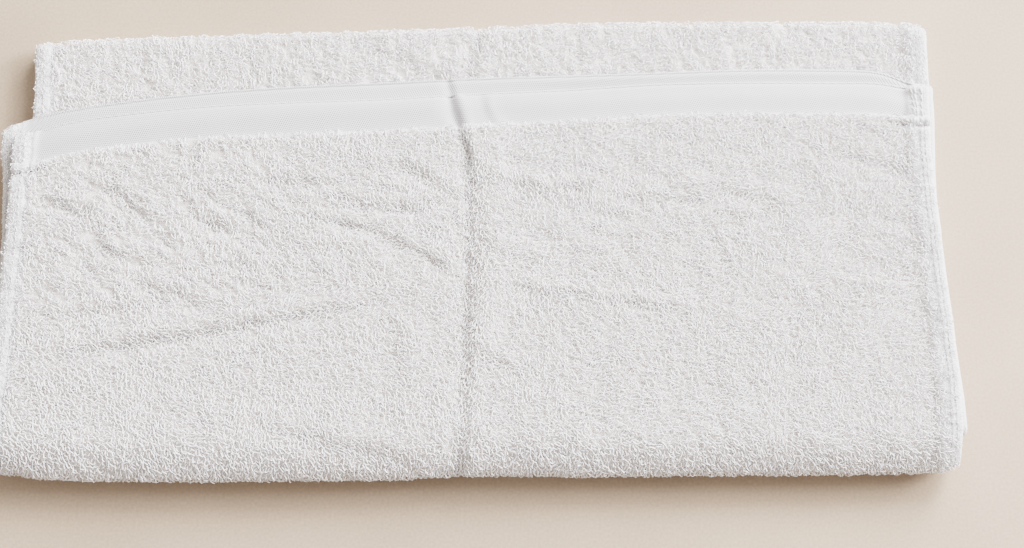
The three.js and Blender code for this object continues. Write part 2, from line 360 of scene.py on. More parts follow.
def placeAcross(layer, across, y):
    edges = sideEdges[layer]
    share = (across + halfWidth) / towel["width"]
    return lerp(lookUp(edges, y, 1), lookUp(edges, y, 2), share)


def hemShare(across):
    inside = np.abs(across) - halfWidth + towel["sideHemWidth"]
    return smooth(inside / towel["hemStep"] + 0.5)


def terryShare(fromEnd):
    return smooth((fromEnd - towel["bandWidth"]) / towel["hemStep"] + 0.5)


def thicknessAt(across, fromEnd, y):
    uneven = towel["hemUneven"] * np.sin(2 * np.pi * y / towel["hemWave"] + np.sign(across))
    body = lerp(towel["band"], towel["terry"], terryShare(fromEnd))
    hem = lerp(towel["corner"], towel["sideHem"] + uneven, terryShare(fromEnd))
    return lerp(body, hem, hemShare(across))


def fromEndOf(layer, across, y):
    if layer == "outerTop":
        return foldLine(across, outerEnd) - y
    if layer == "innerTop":
        return foldLine(across, innerEnd) - y
    return np.full_like(y, towel["farFromEnds"])


def levelOf(layer, across, y):
    thick = thicknessAt(across, fromEndOf(layer, across, y), y)
    if layer == "outerBottom":
        return thick / 2
    if layer == "innerBottom":
        return np.full_like(y, innerBottomLevel)
    floor = innerBottomLevel + halfTerry + towel["layerGap"]
    if layer == "innerTop":
        return floor + thick / 2
    edges = sideEdges["innerTop"]
    left, right = lookUp(edges, y, 1), lookUp(edges, y, 2)
    x = placeAcross("outerTop", across, y)
    below = (x - left) / (right - left) * towel["width"] - halfWidth
    onTerry = smooth((foldLine(below, innerEnd) - y - towel["bandWidth"]) / towel["drape"] + 1)
    under = lerp(lerp(towel["band"], towel["corner"], hemShare(below)), towel["terry"], onTerry)
    return floor + under + towel["layerGap"] + thick / 2


# where the rows and columns of the sheet lie, close together at hems, ends and creases
clothPlan = {
    "outerEnd": [0, 0.3, 0.8, 1.3, 1.8, 2.6, 4, 6, 8.5, 11, 13.5, 16, 17.8, 19.2, 20.2, 20.9, 21.6,
                 22.4, 23.2, 24.2, 25.6, 27.4],
    "innerEnd": [0, 0.3, 0.8, 1.3, 1.8, 2.6, 4, 6, 9, 12, 15, 18, 20.5, 24],
    "outerTop": 75,
    "frontFold": 17,
    "outerBottom": 8,
    "backFold": 11,
    "backPart": 22,
    "innerBottom": 6,
    "innerFold": 7,
    "innerTop": 13,
    "edge": [0, 0.35, 0.9, 1.7, 2.5, 3.3, 4.1, 4.9, 5.7, 6.5, 7.3, 8.1, 9, 10, 11, 12, 13,
             14.5, 17, 20],
    "body": 3.1,
    "creaseHalf": 16,
    "crease": 1.25,
}
pilePlan = {
    **clothPlan, "outerTop": 105, "frontFold": 26, "backFold": 18, "backPart": 30,
    "outerBottom": 3, "innerBottom": 3, "innerFold": 2, "innerTop": 34, "body": 2.0,
}


def makeColumns(plan):
    edge = [halfWidth - inset for inset in plan["edge"]]
    near = np.arange(0, plan["creaseHalf"], plan["crease"])
    steps = round((edge[-1] - near[-1]) / plan["body"])
    body = np.linspace(near[-1], edge[-1], steps + 1)[1:-1]
    half = [*near[1:], *body, *reversed(edge)]
    return np.array([*[-x for x in reversed(half)], 0.0, *half])


def clothRows(across, plan):
    frontY = foldLine(across, frontFold) + halfTerry + towel["frontReach"]
    backY = foldLine(across, backFold) - halfTerry - towel["turnReach"]
    outer, inner = foldLine(across, outerEnd), foldLine(across, innerEnd)
    rows = []

    def flat(layer, start, end, count, first=0):
        for i in range(first, count):
            y = lerp(start, end, i / (count - 1))
            rows.append((layer, y, levelOf(layer, across, y), 0.0))

    def turn(layers, kept, centre, reach, fullness=1.0):
        low, high = (levelOf(layer, across, centre) for layer in layers)
        count = plan[kept[1]]
        for i in range(1, count + 1):
            angle = math.pi * i / (count + 1)
            rise = math.copysign(abs(math.cos(angle)) ** fullness, math.cos(angle))
            level = lerp(low, high, (1 - rise) / 2)
            y = centre + reach * math.sin(angle) ** fullness
            rows.append((kept[0], y, level, i / (count + 1)))

    for inset in plan["outerEnd"]:
        rows.append(("outerTop", outer - inset, levelOf("outerTop", across, outer - inset), 0.0))
    flat("outerTop", outer - plan["outerEnd"][-1], frontY, plan["outerTop"], 1)
    turn(
        ("outerTop", "outerBottom"), ("outerTop", "frontFold"), frontY, -towel["frontReach"],
        towel["frontFullness"],
    )
    flat("outerBottom", frontY, backY, plan["outerBottom"])
    turn(("outerBottom", "innerBottom"), ("innerBottom", "backFold"), backY, towel["turnReach"])
    covered = inner - towel["backShown"]
    flat("innerBottom", backY, covered, plan["backPart"])
    flat("innerBottom", covered, frontY, plan["innerBottom"], 1)
    turn(("innerBottom", "innerTop"), ("innerTop", "innerFold"), frontY, -towel["turnReach"])
    flat("innerTop", frontY, inner - plan["innerEnd"][-1], plan["innerTop"])
    for inset in plan["innerEnd"][-2::-1]:
        rows.append(("innerTop", inner - inset, levelOf("innerTop", across, inner - inset), 0.0))
    return rows


# how every crease and wrinkle strays from its even line: sizes in millimetres, and seeds
wrinkleStray = {
    "wander": 1.5,
    "wanderSize": 13,
    "wanderSeeds": (200, 300),
    "widthShare": 0.3,
    "widthSize": 19,
    "widthSeed": 400,
    "fade": 3.5,
}


def curvePoints(wrinkle, steps=10):
    start, via, end = (np.array(place, float) for place in wrinkle[:3])
    control = 2 * via - (start + end) / 2
    t = np.linspace(0, 1, steps + 1)[:, None]
    return start * (1 - t) ** 2 + control * 2 * t * (1 - t) + end * t * t


def wrinkleHeight(wrinkle, x, y, number, fading=True):
    points = curvePoints(wrinkle)
    stray, size = wrinkleStray, wrinkleStray["wanderSize"]
    x = x + stray["wander"] * lumps(x, y, size, stray["wanderSeeds"][0] + number)
    y = y + stray["wander"] * lumps(x, y, size, stray["wanderSeeds"][1] + number)
    nearest = np.full(x.shape, 1e9)
    place, lit = np.zeros(x.shape), np.ones(x.shape)
    for part, (first, second) in enumerate(zip(points[:-1], points[1:])):
        along = second - first
        aside = x - first[0], y - first[1]
        t = np.clip((aside[0] * along[0] + aside[1] * along[1]) / (along @ along), 0, 1)
        gone = np.hypot(aside[0] - along[0] * t, aside[1] - along[1] * t)
        closer = gone < nearest
        nearest = np.where(closer, gone, nearest)
        lit = np.where(closer, np.sign(along[0] * aside[1] - along[1] * aside[0]), lit)
        place = np.where(closer, (part + t) / (len(points) - 1), place)
    share = smooth(place * stray["fade"]) * smooth((1 - place) * stray["fade"]) if fading else 1
    width, rise, step = wrinkle[3:]
    uneven = stray["widthShare"] * lumps(x, y, stray["widthSize"], stray["widthSeed"] + number)
    away = lit * nearest / (width * (1 + uneven))
    return share * (rise * np.exp(-(away ** 2)) + step * away * np.exp(0.5 - away ** 2 / 2))


lumpCells = 128
lumpMiddle = (64.3, 64.7)
lumpGain = 1.6


def lumps(x, y, size, seed):
    # soft bumps of about this size, from -1 to 1
    slopes = np.random.default_rng(seed).uniform(0, 2 * np.pi, (lumpCells, lumpCells))
    u, v = x / size + lumpMiddle[0], y / size + lumpMiddle[1]
    column, row = np.floor(u).astype(int), np.floor(v).astype(int)
    s, t = u - column, v - row

    def corner(i, j):
        slope = slopes[(column + i) % lumpCells, (row + j) % lumpCells]
        return np.cos(slope) * (s - i) + np.sin(slope) * (t - j)

    near = lerp(corner(0, 0), corner(1, 0), smooth(s))
    far = lerp(corner(0, 1), corner(1, 1), smooth(s))
    return lumpGain * lerp(near, far, smooth(t))


def streaks(x, y, turn, size, seed):
    long, wide = size
    along = x * math.cos(turn) + y * math.sin(turn)
    aside = y * math.cos(turn) - x * math.sin(turn)
    return lumps(along * wide / long, aside, wide, seed)


# small forms that only the cloth itself has, in millimetres
small = {
    "bodyLumps": (0.35, 17, 3),  # height, size, seed
    "fineLumps": (0.16, 7, 8),
    "hemLumps": (0.45, 5.5, 5),
    "leftLumps": (0.75, 4.2, 6),
    "wrinkleLumps": (0.5, 17, 40),
    "bareLumps": 0.35,  # share of the body's lumps that bands and hems have
    "hemRaise": 0.3,
    "rumpleFade": 2.2,
    "seamGroove": (1.7, 9.6, 1.2),  # depth, distance from the edge, width
    "endGroove": (1.0, 1.5, 0.55),
    "endGrooveHem": 0.7,
    "stitchGroove": (0.1, 0.6),
    "endFall": (0.1, 12),  # how steeply the lower end falls at the left, over how much
    "endFallSide": (60, 120),
    "backStreaks": (-1.2, (12, 4), 0.9, 97),
    "lip": (1.9, 21.4, 1.1),  # height, distance from the end, width
    "lipSide": (226, 10),
    "lipDip": (0.9, 2.6),
    "tuck": (0.9, 1.5, 3.2),  # depth, distance past the outer end, width
    "tuckSide": (15, 40),
    "backPile": (22, 6),  # where the ground of the back part's pile begins under the inner end
    "edgeWander": (0.45, 9, 12),
}


def ground(plan):
    across = makeColumns(plan)
    rows = clothRows(across, plan)
    y = np.array([row[1] for row in rows])
    level = np.array([row[2] for row in rows])
    turned = np.array([row[3] for row in rows])[:, None] + 0 * y
    layer = [row[0] for row in rows]
    wide = across[None, :] + 0 * y
    x = np.array([placeAcross(row[0], across, row[1]) for row in rows])
    fromEnd = np.array([fromEndOf(name, across, place) for name, place in zip(layer, y)])
    inset = halfWidth - np.abs(wide)
    radius = towel["cornerRadius"]
    aside, ahead = np.clip(radius - inset, 0, None), np.clip(radius - fromEnd, 0, None)
    share = 1 - np.maximum(aside, ahead) / np.maximum(np.hypot(aside, ahead), 1e-6)
    share = np.where(np.minimum(aside, ahead) > 0, share, 0)
    middle = np.stack([x - np.sign(wide) * aside * share, y - ahead * share, level], 2)
    along = np.empty_like(middle)
    along[1:-1] = middle[2:] - middle[:-2]
    along[0], along[-1] = middle[1] - middle[0], middle[-1] - middle[-2]
    sideways = np.empty_like(middle)
    sideways[:, 1:-1] = middle[:, 2:] - middle[:, :-2]
    sideways[:, 0] = middle[:, 1] - middle[:, 0]
    sideways[:, -1] = middle[:, -1] - middle[:, -2]
    along /= np.linalg.norm(along, axis=2)[:, :, None]
    sideways /= np.linalg.norm(sideways, axis=2)[:, :, None]
    normal = np.cross(along, sideways)
    normal /= np.linalg.norm(normal, axis=2)[:, :, None]
    thick = np.array([thicknessAt(across, ends, place) for ends, place in zip(fromEnd, y)])
    length = np.linalg.norm(np.diff(middle, axis=0), axis=2)
    path = np.vstack([np.zeros(len(across)), np.cumsum(length, axis=0)])
    names = np.array(layer)[:, None]
    return {
        "across": wide, "x": x, "y": y, "level": level, "turned": turned, "normal": normal,
        "fromEnd": fromEnd, "thick": thick, "inset": inset, "path": path,
        "outerTop": (names == "outerTop") + 0 * y, "innerTop": (names == "innerTop") + 0 * y,
        "innerBottom": (names == "innerBottom") + 0 * y,
        "outerBottom": (names == "outerBottom") + 0 * y, "middle": middle,
        "along": along, "sideways": sideways,
    }


# the sewn rows of the right hem: how far in they run, and how they wander along it
seam = {"rows": (5.9, 3.4), "sway": (0.5, 19.0), "ripple": (0.35, 7.3)}


def stitchRows(side, y):
    sway, long = seam["sway"]
    ripple, short = seam["ripple"]
    wander = sway * np.sin(y / long + side) + ripple * np.sin(y / short + 2 * side)
    return [row + wander for row in seam["rows"]]


def shapeFaces(g):
    # how far the outer and inner faces lie from the middle of the cloth
    facingUp = smooth(g["normal"][:, :, 2] + 0.5)
    x, y = g["x"], g["y"]
    relief, behind = np.zeros_like(x), np.zeros_like(x)
    for number, crease in enumerate(creases):
        relief += wrinkleHeight(crease, x, y, number, False)
    for number, wrinkle in enumerate(wrinkles):
        height, size, seed = small["wrinkleLumps"]
        uneven = 1 + height * lumps(x, y, size, seed + number)
        relief += wrinkleHeight(wrinkle, x, y, 20 + number) * uneven
    for number, wrinkle in enumerate(backWrinkles):
        behind += wrinkleHeight(wrinkle, x, y, 80 + number, False)
    terry = terryShare(g["fromEnd"]) * (1 - hemShare(g["across"]))
    turn, size, height, seed = small["backStreaks"]
    behind += height * terry * streaks(x, y, turn, size, seed)
    for number, rumple in enumerate(rumples):
        away = [np.abs(place - middle) / half for place, middle, half in
                zip((x, y), rumple["middle"], rumple["half"])]
        fade = small["rumpleFade"]
        share = smooth(fade - fade * away[0]) * smooth(fade - fade * away[1]) * terry
        streaked = streaks(x, y, rumple["turn"], rumple["size"], 90 + number)
        relief += rumple["height"] * share * streaked
    relief = (relief * g["outerTop"] + behind * g["innerBottom"]) * facingUp
    relief += wrinkleHeight(bandDent, x, y, 90, False) * g["innerTop"]
    fall, reach = small["endFall"]
    start, width = small["endFallSide"]
    drop = g["innerTop"] * fall * np.clip(reach - g["fromEnd"], 0, reach)
    relief -= drop * smooth((start - x) / width)
    depth, place, width = small["tuck"]
    tuck = np.exp(-(((y - foldLine(g["across"], outerEnd) - place) / width) ** 2))
    start, width = small["tuckSide"]
    relief -= depth * g["innerTop"] * tuck * smooth((x - start) / width)
    bare = small["bareLumps"]
    for name, share in (("bodyLumps", bare + (1 - bare) * terry), ("fineLumps", terry)):
        height, scale, seed = small[name]
        relief += height * share * lumps(x, y + 3 * g["level"], scale, seed)
    hem = hemShare(g["across"])
    height, scale, seed = small["hemLumps"]
    relief += hem * (height * lumps(x, y, scale, seed) + small["hemRaise"])
    leftSide = g["across"] < 0
    height, scale, seed = small["leftLumps"]
    relief += leftSide * hem * height * lumps(x * 0.6, y, scale, seed)
    depth, place, width = small["endGroove"]
    groove = depth * np.exp(-(((g["fromEnd"] - place) / width) ** 2))
    relief -= groove * (1 - small["endGrooveHem"] * hem)
    depth, place, width = small["seamGroove"]
    relief -= leftSide * depth * np.exp(-(((g["inset"] - place) / width) ** 2))
    depth, width = small["stitchGroove"]
    for row in stitchRows(1, y):
        relief -= (~leftSide) * depth * np.exp(-(((g["inset"] - row) / width) ** 2))
    start, reach = small["lipSide"]
    corner = smooth((np.abs(g["across"]) - start) / reach)
    height, place, width = small["lip"]
    share, beyond = small["lipDip"]
    ridge = np.exp(-(((g["fromEnd"] - place) / width) ** 2))
    dip = np.exp(-(((g["fromEnd"] - place - beyond) / width) ** 2))
    relief += corner * g["outerTop"] * (height * ridge - share * height * dip)
    relief *= 1 - g["outerBottom"]

    shown = g["outerTop"] * smooth((1 - g["turned"]) * 2)
    start, width = small["backPile"]
    behind = g["innerBottom"] * smooth((g["y"] - foldLine(g["across"], innerEnd) + start) / width)
    behind *= np.where(g["turned"] > 0, smooth(g["turned"] * 2), 1)
    pile = towel["pileDepth"] * terry * (shown + behind)
    # the inner end lies the other way up, so its inner face is the one that shows
    outer = g["thick"] / 2 - pile + relief * (1 - g["innerTop"])
    inner = -g["thick"] / 2 - relief * g["innerTop"]
    thick = np.maximum(outer - inner, towel["thinnest"])
    fromEdge = np.minimum(g["inset"], g["fromEnd"])
    t = np.clip(1 - fromEdge / towel["edgeRadius"], 0, towel["edgeRound"])
    thick *= np.sqrt(1 - t * t)
    return (outer + inner) / 2, thick


def moved(points):
    shifted = points + np.array([*towel["middle"], 0.0])
    return shifted * mm


def middleFace(g):
    centre, thick = shapeFaces(g)
    middle = g["middle"] + g["normal"] * centre[:, :, None]
    height, size, reach = small["edgeWander"]
    outline = height * lumps(g["path"], g["across"] * 0.2, size, 1)
    middle[:, :, 0] += outline * hemShare(g["across"]) * smooth(1 - g["inset"] / reach)
    middle[:, :, 2] = np.maximum(middle[:, :, 2], thick / 2 * (np.abs(g["normal"][:, :, 2])))
    return middle, thick


def shownFace(g):
    middle, thick = middleFace(g)
    return middle + g["normal"] * (thick * (0.5 - g["innerTop"]))[:, :, None]


def makeSheet(g):
    middle, thick = middleFace(g)
    rows, columns = g["x"].shape
    places = moved(middle)
    cloth = bmesh.new()
    bmesh.ops.create_grid(cloth, x_segments=columns - 1, y_segments=rows - 1, size=0.5)
    cloth.verts.ensure_lookup_table()
    cells = []
    for vert in cloth.verts:
        column = round((vert.co.x + 0.5) * (columns - 1))
        row = round((0.5 - vert.co.y) * (rows - 1))
        cells.append((row, column))
        vert.co = places[row, column]
    bmesh.ops.recalc_face_normals(cloth, faces=cloth.faces)
    mesh = addMesh("towelCloth", cloth)
    rowOf, columnOf = np.array(cells).T
    record = {
        "flatPlace": np.stack([g["across"], g["path"], g["fromEnd"]], 2) * mm,
        "hemPlace": np.stack([g["inset"], g["y"], hemShare(g["across"])], 2),
    }
    for name, values in record.items():
        kept = mesh.attributes.new(name, "FLOAT_VECTOR", "POINT")
        kept.data.foreach_set("vector", values[rowOf, columnOf].astype(np.float32).ravel())
    piece = addPiece("towelCloth", mesh)
    group = piece.vertex_groups.new(name="thickness")
    most = float(thick.max())
    for number, (row, column) in enumerate(cells):
        group.add([number], float(thick[row, column] / most), "REPLACE")
    wall = piece.modifiers.new("thickness", "SOLIDIFY")
    wall.thickness = most * mm
    wall.offset = 0
    wall.vertex_group = "thickness"
    wall.use_rim = True
    return piece


def settle(piece, smoothed=False):
    # the modifiers' result becomes the piece's own mesh
    bpy.context.view_layer.update()
    scene = bpy.context.evaluated_depsgraph_get()
    reckoned = piece.evaluated_get(scene)
    done = bpy.data.meshes.new_from_object(
        reckoned, preserve_all_data_layers=True, depsgraph=scene,
    )
    done.name = piece.name
    piece.modifiers.clear()
    piece.vertex_groups.clear()
    old = piece.data
    piece.data = done
    bpy.data.meshes.remove(old)
    for polygon in piece.data.polygons:
        polygon.use_smooth = smoothed
    return piece


cloth = makeSheet(ground(clothPlan))
settle(cloth, smoothed=True)
print("cloth folded:", triangles(cloth), "triangles")


# Cloth finish: twill on the woven bands, small knots on the hems, matted cotton under the loops, with
# painted shade on the twill and on the ground between the loops

weave = {
    "bandTone": (0.695, 0.685, 0.69, 1),
    "hemTone": (0.76, 0.75, 0.745, 1),
    # painted shade: the ground under the loops is darker and warmer than the loops, as shade between
    # them
    "shadedGroundTone": (0.89, 0.85, 0.82, 1),
    "twillPitch": 1.2,
    "twillRise": 0.3,
    "twillShadeTone": (0.86, 0.855, 0.85, 1),  # painted shade on the low threads of the twill
    "bandEdge": (19.5, 21.5),
    "knotSize": 1.3,
    "knotRise": 0.45,
    "stitchPitch": 4.0,
    "stitchDent": 0.28,
    "stitchSide": (200, 210),
    "mattedRise": 0.9,
    "roughness": 0.92,
    "sheen": 0.1,
}


def millimetres(wire):
    return put(wire.tree, "ShaderNodeVectorMath", {"operation": "SCALE"}, {0: wire, "Scale": 1000.0})


def paintCloth(values):
    material, tree = newMaterial("terryGround")
    flatPlace = put(tree, "ShaderNodeAttribute", {"attribute_name": "flatPlace"}, None, 1)
    flatPlace = millimetres(flatPlace)
    place = put(tree, "ShaderNodeSeparateXYZ", None, {0: flatPlace})
    across, along, fromEnd = place, other(place, "Y"), other(place, "Z")
    hemPlace = put(tree, "ShaderNodeAttribute", {"attribute_name": "hemPlace"}, None, 1)
    inset = put(tree, "ShaderNodeSeparateXYZ", None, {0: hemPlace})
    runs, hem = other(inset, "Y"), other(inset, "Z")
    band = 1 - ease(fromEnd, *values["bandEdge"])
    band = band * (1 - hem)
    bare = 1 - (1 - band) * (1 - hem)

    turn = math.tau / values["twillPitch"]
    twill = ease(wave(across * turn + along * (turn * 0.5)), -0.7, 0.9)
    twill = twill * (0.55 + 0.45 * wave(along * turn - across * (turn * 0.25)))
    knots = put(
        tree, "ShaderNodeTexVoronoi", {"feature": "SMOOTH_F1"},
        {"Vector": flatPlace, "Scale": 1 / values["knotSize"], "Smoothness": 0.6},
    )
    matted = put(
        tree, "ShaderNodeTexNoise", None,
        {"Vector": flatPlace, "Scale": 0.9, "Detail": 2.0, "Roughness": 0.6, "Distortion": 1.5},
    )
    pulls = ease(wave(runs * (math.tau / values["stitchPitch"])), -0.2, 0.7)
    dents = 0
    for row in stitchRows(1, 0):
        dents = dents + (1 - ease(abs(inset - row), 0.2, 0.9)) * (0.3 + 0.7 * pulls)
    dents = dents * ease(across, *values["stitchSide"])
    height = twill * band * values["twillRise"]
    height = height + (1 - knots) * hem * values["knotRise"] - dents * hem * values["stitchDent"]
    height = height + matted * (1 - bare) * values["mattedRise"]
    bump = put(
        tree, "ShaderNodeBump", None, {"Strength": 0.9, "Distance": 0.001, "Height": height},
    )
    # the terry ground between the loops carries painted shade
    tone = blendColour(tree, band, values["shadedGroundTone"], values["bandTone"])
    tone = blendColour(tree, hem, tone, values["hemTone"])
    # painted shade on the twill's low threads across the band
    twillShade = blendColour(tree, twill * band, (1, 1, 1, 1), values["twillShadeTone"])
    tone = blendColour(tree, 1.0, tone, twillShade, "MULTIPLY")
    surface = put(
        tree, "ShaderNodeBsdfPrincipled", None,
        {"Base Color": tone, "Roughness": values["roughness"], "Sheen Weight": values["sheen"],
         "Sheen Roughness": 0.5, "Normal": bump},
    )
    put(tree, "ShaderNodeOutputMaterial", None, {"Surface": surface})
    return material


cloth.data.materials.clear()
cloth.data.materials.append(paintCloth(weave))


# The pile: thousands of small cotton loops that lie over the ground

# each loop's line in millimetres, x the way it is combed and z out of the cloth
loopLines = {
    "arch": [(-1.8, -0.2, -0.5), (-1.0, 0.2, 1.0), (0.1, 0.4, 1.5), (1.1, 0.1, 1.1), (1.8, -0.3, -0.4)],
    "ess": [(-1.9, 0.4, -0.5), (-0.9, 0.5, 1.1), (0, 0, 1.5), (0.9, -0.5, 1.2), (1.9, -0.3, -0.4)],
    "hook": [(-1.8, -0.3, -0.5), (-0.4, 0.4, 1.4), (1.2, 0.35, 1.6), (1.3, -0.8, 1.0), (0.2, -1, -0.3)],
    "crook": [(-1.8, 0.3, -0.5), (-0.4, -0.4, 1.4), (1.2, -0.35, 1.6), (1.3, 0.8, 1.0), (0.2, 1, -0.3)],
    "short": [(-1.2, 0.1, -0.5), (-0.5, 0.4, 1.2), (0.6, 0.1, 1.4), (1.2, -0.4, -0.2)],
    "stub": [(-1.1, -0.2, -0.5), (-0.4, -0.4, 1.1), (0.6, 0.1, 1.3), (1.1, 0.5, -0.2)],
}

pile = {
    "girth": 0.30,
    "height": 0.9,
    "flatness": 0.8,
    "spacing": 1.2,
    "density": 1400000.0,
    "smallest": 0.85,
    "largest": 1.3,
    "lowest": 0.75,
    "highest": 1.2,
    "jitter": 0.75,
    "tousle": 0.45,
    "tousleSize": 2.6,
    "tipTone": (0.95, 0.945, 0.95, 1),
    # painted shade: each loop is darker and warmer towards its roots
    "rootShadeTone": (0.955, 0.92, 0.9, 1),
    "rootShadeFrom": (0.3, 0.85),  # where the painted root shade begins and is full, from the middle of a loop to its ends
    "dullest": (0.97, 0.97, 0.975, 1),
    "roughness": 0.85,
    "sheen": 0.25,
}

# where the loops part in streaks: lie and size of the streaks, how much is thinned out
parting = {
    "top": {"turn": -0.62, "size": (14, 3.4), "seed": 120, "most": 0.9, "start": 0.15, "steep": 2.6},
    "back": {"turn": -1.2, "size": (14, 3.4), "seed": 121, "most": 0.8, "start": 0.2, "steep": 3},
    "least": 0.12,
    "leftOver": (-0.5, 110),
    "above": (-50, 20),
}

# name, from and to across, seed
topPatches = [
    ("pileFarLeft", -250, -122, 11),
    ("pileLeft", -122, 0, 12),
    ("pileRight", 0, 122, 13),
    ("pileFarRight", 122, 250, 14),
]

# the hems' own loops are short and close
hemPile = {
    **pile, "spacing": 0.95, "smallest": 0.45, "largest": 0.75, "jitter": 1.3, "tousle": 0.3,
    "edge": 0.8,
}


def makeLoop(name, line, girth, height, flatness):
    loop = bmesh.new()
    bmesh.ops.create_cone(loop, cap_ends=False, segments=3, radius1=1, radius2=1, depth=1)
    upright = [e for e in loop.edges if abs(e.verts[0].co.z - e.verts[1].co.z) > 0.5]
    bmesh.ops.subdivide_edges(loop, edges=upright, cuts=len(line) - 2, use_grid_fill=True)
    uvs = loop.loops.layers.uv.new("OFBake")
    for face in loop.faces:
        middle = face.calc_center_median()
        turn = math.atan2(middle.y, middle.x) / math.tau % 1
        for corner in face.loops:
            place = corner.vert.co
            side = (math.atan2(place.y, place.x) / math.tau - turn + 0.5) % 1 - 0.5
            corner[uvs].uv = (turn + side, place.z + 0.5)
    stations = [Vector((x, y, z * height)) for x, y, z in line]
    last = len(stations) - 1
    for vert in loop.verts:
        number = round((vert.co.z + 0.5) * last)
        ahead = stations[min(number + 1, last)] - stations[max(number - 1, 0)]
        side = ahead.cross(Vector((0, 0, 1))).normalized()
        over = side.cross(ahead).normalized()
        radius = 0 if number in (0, last) else girth
        offset = side * vert.co.x * radius + over * vert.co.y * radius * flatness
        vert.co = (stations[number] + offset) * mm
    bmesh.ops.remove_doubles(loop, verts=loop.verts, dist=1e-7)
    bmesh.ops.recalc_face_normals(loop, faces=loop.faces)
    return bpy.data.objects.new(name, addMesh(name, loop))


combing = {
    "lie": (-0.6, -0.4),  # left and right of the middle crease
    "swirls": [(1.1, 30, 60), (0.8, 11, 61)],  # turn, size, seed
    "crease": (-2, -4),  # where the crease runs at the top and at the front
    "creaseReach": 11,
    "down": -1.57,
    "partTurn": 0.85,
    "partWidth": 3,
    "front": (-108, 14),
    "frontLie": -1.25,
    "frontSwirl": (0.5, 15, 63),
}


def combAngle(g):
    # which way the loops lie, in radians from the way across towards the way along
    x, y = g["x"], g["y"]
    left, right = combing["lie"]
    angle = np.where(x < 0, left, right)
    for turn, size, seed in combing["swirls"]:
        angle = angle + turn * lumps(x, y, size, seed)
    fromCrease = x - lerp(*combing["crease"], smooth((20 - y) / 140))
    nearCrease = np.exp(-((fromCrease / combing["creaseReach"]) ** 2)) * g["outerTop"]
    parted = combing["down"] - combing["partTurn"] * np.tanh(fromCrease / combing["partWidth"])
    angle = lerp(angle, parted, nearCrease * 0.9)
    start, reach = combing["front"]
    front = smooth((start - y) / reach) * g["outerTop"]
    turn, size, seed = combing["frontSwirl"]
    return lerp(angle, combing["frontLie"] + turn * lumps(x, y, size, seed), front)


def makeGround(g, face, chosen, cover, angle):
    rows = np.flatnonzero(chosen.any(axis=1))
    columns = np.flatnonzero(chosen.any(axis=0))
    top, left = rows[0], columns[0]
    tall, wide = len(rows), len(columns)
    patch = bmesh.new()
    bmesh.ops.create_grid(patch, x_segments=wide - 1, y_segments=tall - 1, size=0.5)
    cells = []
    places = moved(face)
    for vert in patch.verts:
        column = left + round((vert.co.x + 0.5) * (wide - 1))
        row = top + round((0.5 - vert.co.y) * (tall - 1))
        cells.append((row, column))
        vert.co = places[row, column]
    patch.normal_update()
    if sum(face.normal.z for face in patch.faces) < 0:
        bmesh.ops.reverse_faces(patch, faces=patch.faces)
    mesh = addMesh("ground", patch)
    rowOf, columnOf = np.array(cells).T
    comb = np.cos(angle)[:, :, None] * g["sideways"] - np.sin(angle)[:, :, None] * g["along"]
    kept = mesh.attributes.new("comb", "FLOAT_VECTOR", "POINT")
    kept.data.foreach_set("vector", comb[rowOf, columnOf].astype(np.float32).ravel())
    kept = mesh.attributes.new("cover", "FLOAT", "POINT")
    kept.data.foreach_set("value", cover[rowOf, columnOf].astype(np.float32).ravel())
    return mesh


